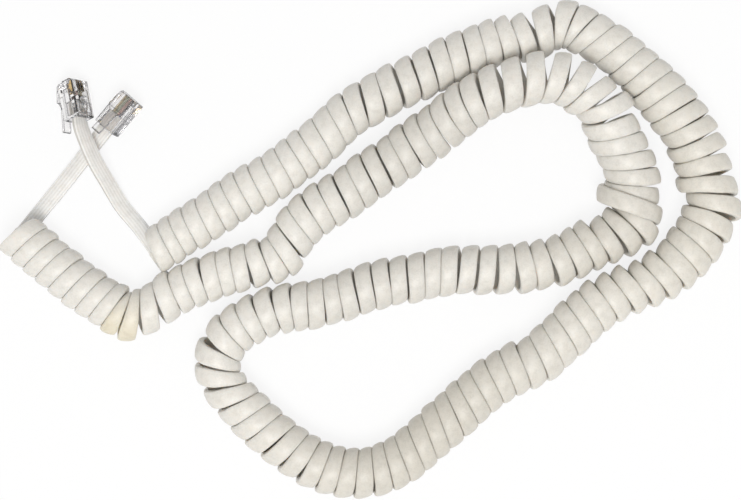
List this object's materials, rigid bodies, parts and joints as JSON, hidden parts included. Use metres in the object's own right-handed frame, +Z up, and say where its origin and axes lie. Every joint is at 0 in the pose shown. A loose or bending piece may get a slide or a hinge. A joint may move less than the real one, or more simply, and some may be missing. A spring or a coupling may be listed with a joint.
{
  "type": "telephone handset cord",
  "caption": "Coiled telephone handset cord with a clear modular plug on each end.",
  "frame": {"origin": "on the table, under the middle of the whole part's box", "axes": "+X to the right of the cord as it lies, away from the plugs; +Y away from the viewer; +Z up"},
  "size_m": [0.239, 0.1608, 0.0248],
  "materials": {
    "cord_jacket": "soft gloss",
    "clear_plug": "clear gloss",
    "gold_contact": "plated",
    "copper_tinsel": "bright",
    "black_insulation": "satin",
    "red_insulation": "satin",
    "green_insulation": "satin",
    "yellow_insulation": "satin"
  },
  "bodies": {
    "cord": {"coiled_cord": "cord_jacket", "lead_a": "cord_jacket", "lead_b": "cord_jacket", "plug_a_housing": "clear_plug", "plug_a_contact_1": "gold_contact", "plug_a_contact_2": "gold_contact", "plug_a_contact_3": "gold_contact", "plug_a_contact_4": "gold_contact", "plug_a_conductor_black": "black_insulation", "plug_a_conductor_red": "red_insulation", "plug_a_conductor_green": "green_insulation", "plug_a_conductor_yellow": "yellow_insulation", "plug_a_wire_cores": "copper_tinsel", "plug_b_housing": "clear_plug", "plug_b_contact_1": "gold_contact", "plug_b_contact_2": "gold_contact", "plug_b_contact_3": "gold_contact", "plug_b_contact_4": "gold_contact", "plug_b_conductor_black": "black_insulation", "plug_b_conductor_red": "red_insulation", "plug_b_conductor_green": "green_insulation", "plug_b_conductor_yellow": "yellow_insulation", "plug_b_wire_cores": "copper_tinsel"},
    "latch_a": {"plug_a_latch": "clear_plug"},
    "latch_b": {"plug_b_latch": "clear_plug"}
  },
  "joints": [
    {"name": "plug_a_latch_press", "type": "hinge", "parent": "cord", "child": "latch_a", "pos_m": [-0.10043, 0.05337, 0.00286], "axis": [-0.59, 0.0696, 0.8044], "range_deg": [0, 8], "stiffness_Nm_per_rad": 0.3},
    {"name": "plug_b_latch_press", "type": "hinge", "parent": "cord", "child": "latch_b", "pos_m": [-0.07916, 0.04999, 0.00851], "axis": [0.7367, -0.6435, 0.2076], "range_deg": [0, 8], "stiffness_Nm_per_rad": 0.3}
  ]
}
